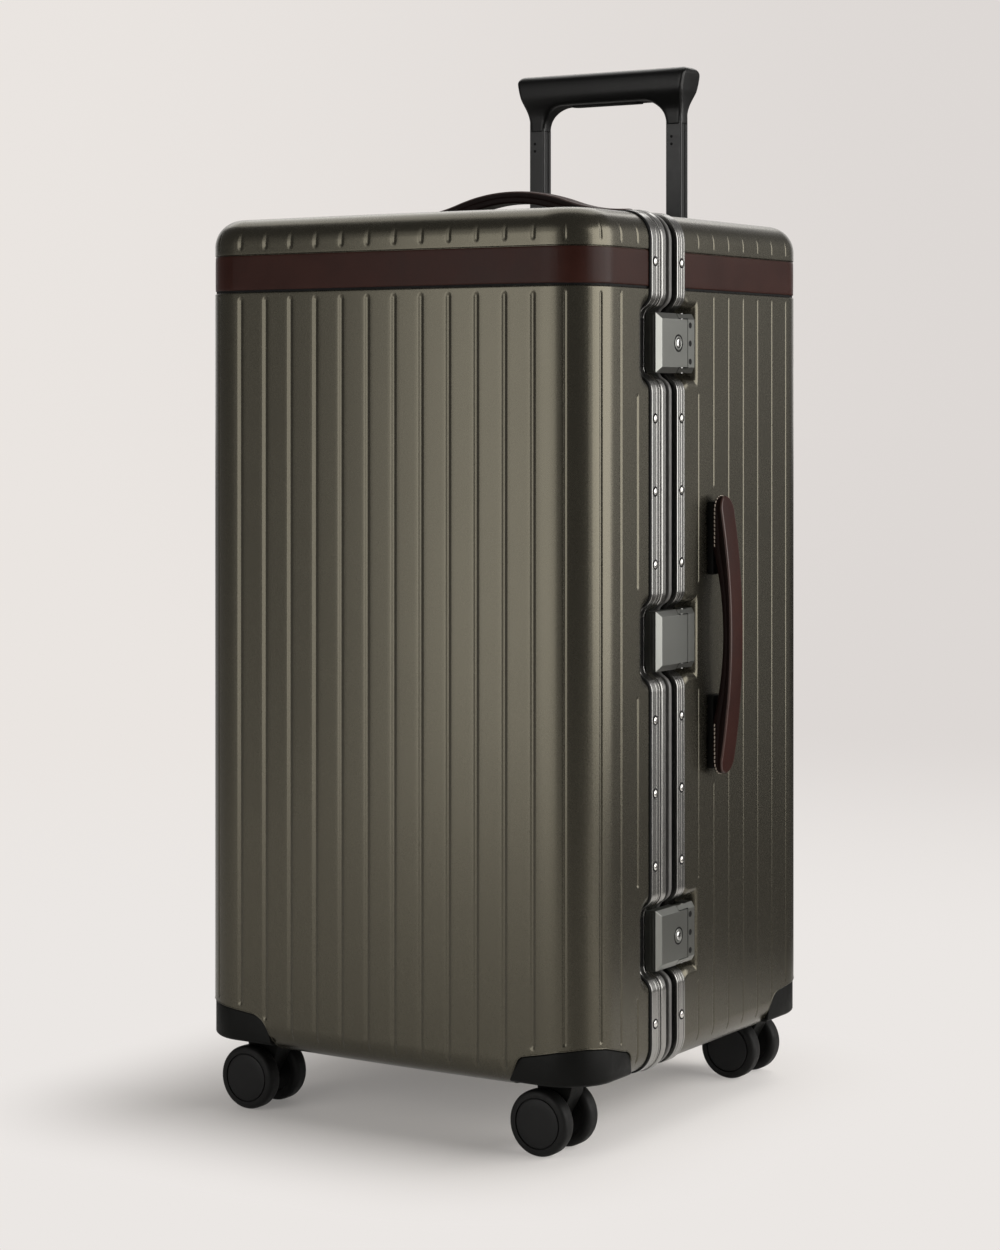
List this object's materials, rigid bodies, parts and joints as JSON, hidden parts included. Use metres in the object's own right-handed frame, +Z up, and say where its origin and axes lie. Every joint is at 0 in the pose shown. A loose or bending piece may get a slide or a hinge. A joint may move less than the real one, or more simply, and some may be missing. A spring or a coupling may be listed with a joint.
{
  "type": "trunk suitcase",
  "caption": "Tall hard trunk suitcase with ribbed shells, riveted aluminium frame, frame latches, leather band and carry handles, pull handle and twin-wheel swivel casters.",
  "frame": {"origin": "centre of the overall box at floor level, under the wheels", "axes": "+Z up; -Y out of the front face (the lid); +X out of the latch side; hinges on -X; pull handle at +Y"},
  "size_m": [0.4334, 0.4, 0.9302],
  "materials": {
    "shell": "satin, ribbed",
    "frame": "satin anodised, bead blasted",
    "rivet": "satin",
    "seal": "matte",
    "band": "grained",
    "handle": "grained, stitched",
    "lining": "woven",
    "black": "fine grained",
    "steel": "satin",
    "latch": "dark grey anodised, satin",
    "tube": "black anodised",
    "wheel": "matte with a satin cap"
  },
  "bodies": {
    "base": {"base_shell": "shell", "base_frame": "frame", "base_frame_rivets": "rivet", "frame_seal": "seal", "base_band": "band", "base_lining": "lining", "corner_rear_left": "black", "corner_rear_right": "black", "hinge_base_leaves": "steel", "hinge_pins": "steel", "latch_brackets": "latch", "latch_pins": "steel", "latch_screws": "black", "trolley_cup": "black", "trolley_outer_tubes": "tube", "trolley_foot": "black", "top_handle_strap": "handle", "top_handle_mounts": "black", "side_handle_strap": "handle", "side_handle_mounts": "black"},
    "lid": {"lid_shell": "shell", "lid_frame": "frame", "lid_frame_rivets": "rivet", "lid_band": "band", "lid_lining": "lining", "corner_front_left": "black", "corner_front_right": "black", "hinge_lid_leaves": "steel", "latch_strikes": "steel"},
    "trolley": {"trolley_grip": "black", "trolley_inner_tubes": "tube", "trolley_screws": "black"},
    "button": {"release_button": "black"},
    "latch_top": {"latch_lever_top": "latch"},
    "latch_middle": {"latch_lever_middle": "latch"},
    "latch_bottom": {"latch_lever_bottom": "latch"},
    "key_top": {"key_cylinder_top": "steel"},
    "key_bottom": {"key_cylinder_bottom": "steel"},
    "caster_front_left": {"caster_front_left_fork": "black", "caster_front_left_axle": "steel"},
    "wheel_front_left_front": {"caster_front_left_wheel_front": "wheel"},
    "wheel_front_left_back": {"caster_front_left_wheel_back": "wheel"},
    "caster_front_right": {"caster_front_right_fork": "black", "caster_front_right_axle": "steel"},
    "wheel_front_right_front": {"caster_front_right_wheel_front": "wheel"},
    "wheel_front_right_back": {"caster_front_right_wheel_back": "wheel"},
    "caster_rear_left": {"caster_rear_left_fork": "black", "caster_rear_left_axle": "steel"},
    "wheel_rear_left_front": {"caster_rear_left_wheel_front": "wheel"},
    "wheel_rear_left_back": {"caster_rear_left_wheel_back": "wheel"},
    "caster_rear_right": {"caster_rear_right_fork": "black", "caster_rear_right_axle": "steel"},
    "wheel_rear_right_front": {"caster_rear_right_wheel_front": "wheel"},
    "wheel_rear_right_back": {"caster_rear_right_wheel_back": "wheel"}
  },
  "joints": [
    {"name": "lid_hinge", "type": "hinge", "parent": "base", "child": "lid", "pos_m": [-0.21325, -0.07, 0.41775], "axis": [0, 0, -1], "range_deg": [0, 105]},
    {"name": "trolley_slide", "type": "slide", "parent": "base", "child": "trolley", "axis": [0, 0, 1], "range_m": [-0.118, 0.17]},
    {"name": "release_button_slide", "type": "slide", "parent": "trolley", "child": "button", "axis": [0, 0, 1], "range_m": [0, 0.003], "stiffness_N_per_m": 600, "springref_m": -0.003},
    {"name": "latch_bottom_hinge", "type": "hinge", "parent": "base", "child": "latch_bottom", "pos_m": [0.19075, -0.04, 0.16725], "axis": [0, 0, 1], "range_deg": [0, 90]},
    {"name": "latch_middle_hinge", "type": "hinge", "parent": "base", "child": "latch_middle", "pos_m": [0.19075, -0.04, 0.41775], "axis": [0, 0, 1], "range_deg": [0, 90]},
    {"name": "latch_top_hinge", "type": "hinge", "parent": "base", "child": "latch_top", "pos_m": [0.19075, -0.04, 0.66825], "axis": [0, 0, 1], "range_deg": [0, 90]},
    {"name": "key_top_turn", "type": "hinge", "parent": "latch_top", "child": "key_top", "pos_m": [0.19275, -0.052, 0.66825], "axis": [1, 0, 0], "range_deg": [0, 90]},
    {"name": "key_bottom_turn", "type": "hinge", "parent": "latch_bottom", "child": "key_bottom", "pos_m": [0.19275, -0.052, 0.16725], "axis": [1, 0, 0], "range_deg": [0, 90]},
    {"name": "caster_front_left_swivel", "type": "hinge", "parent": "lid", "child": "caster_front_left", "pos_m": [-0.15725, -0.156, 0.064], "axis": [0, 0, 1], "continuous": true},
    {"name": "wheel_front_left_front_spin", "type": "hinge", "parent": "caster_front_left", "child": "wheel_front_left_front", "pos_m": [-0.16425, -0.156, 0.0275], "axis": [0, 1, 0], "continuous": true},
    {"name": "wheel_front_left_back_spin", "type": "hinge", "parent": "caster_front_left", "child": "wheel_front_left_back", "pos_m": [-0.16425, -0.156, 0.0275], "axis": [0, 1, 0], "continuous": true},
    {"name": "caster_front_right_swivel", "type": "hinge", "parent": "lid", "child": "caster_front_right", "pos_m": [0.14275, -0.156, 0.064], "axis": [0, 0, 1], "continuous": true},
    {"name": "wheel_front_right_front_spin", "type": "hinge", "parent": "caster_front_right", "child": "wheel_front_right_front", "pos_m": [0.13575, -0.156, 0.0275], "axis": [0, 1, 0], "continuous": true},
    {"name": "wheel_front_right_back_spin", "type": "hinge", "parent": "caster_front_right", "child": "wheel_front_right_back", "pos_m": [0.13575, -0.156, 0.0275], "axis": [0, 1, 0], "continuous": true},
    {"name": "caster_rear_left_swivel", "type": "hinge", "parent": "base", "child": "caster_rear_left", "pos_m": [-0.15725, 0.172, 0.064], "axis": [0, 0, 1], "continuous": true},
    {"name": "wheel_rear_left_front_spin", "type": "hinge", "parent": "caster_rear_left", "child": "wheel_rear_left_front", "pos_m": [-0.16425, 0.172, 0.0275], "axis": [0, 1, 0], "continuous": true},
    {"name": "wheel_rear_left_back_spin", "type": "hinge", "parent": "caster_rear_left", "child": "wheel_rear_left_back", "pos_m": [-0.16425, 0.172, 0.0275], "axis": [0, 1, 0], "continuous": true},
    {"name": "caster_rear_right_swivel", "type": "hinge", "parent": "base", "child": "caster_rear_right", "pos_m": [0.14275, 0.172, 0.064], "axis": [0, 0, 1], "continuous": true},
    {"name": "wheel_rear_right_front_spin", "type": "hinge", "parent": "caster_rear_right", "child": "wheel_rear_right_front", "pos_m": [0.13575, 0.172, 0.0275], "axis": [0, 1, 0], "continuous": true},
    {"name": "wheel_rear_right_back_spin", "type": "hinge", "parent": "caster_rear_right", "child": "wheel_rear_right_back", "pos_m": [0.13575, 0.172, 0.0275], "axis": [0, 1, 0], "continuous": true}
  ]
}
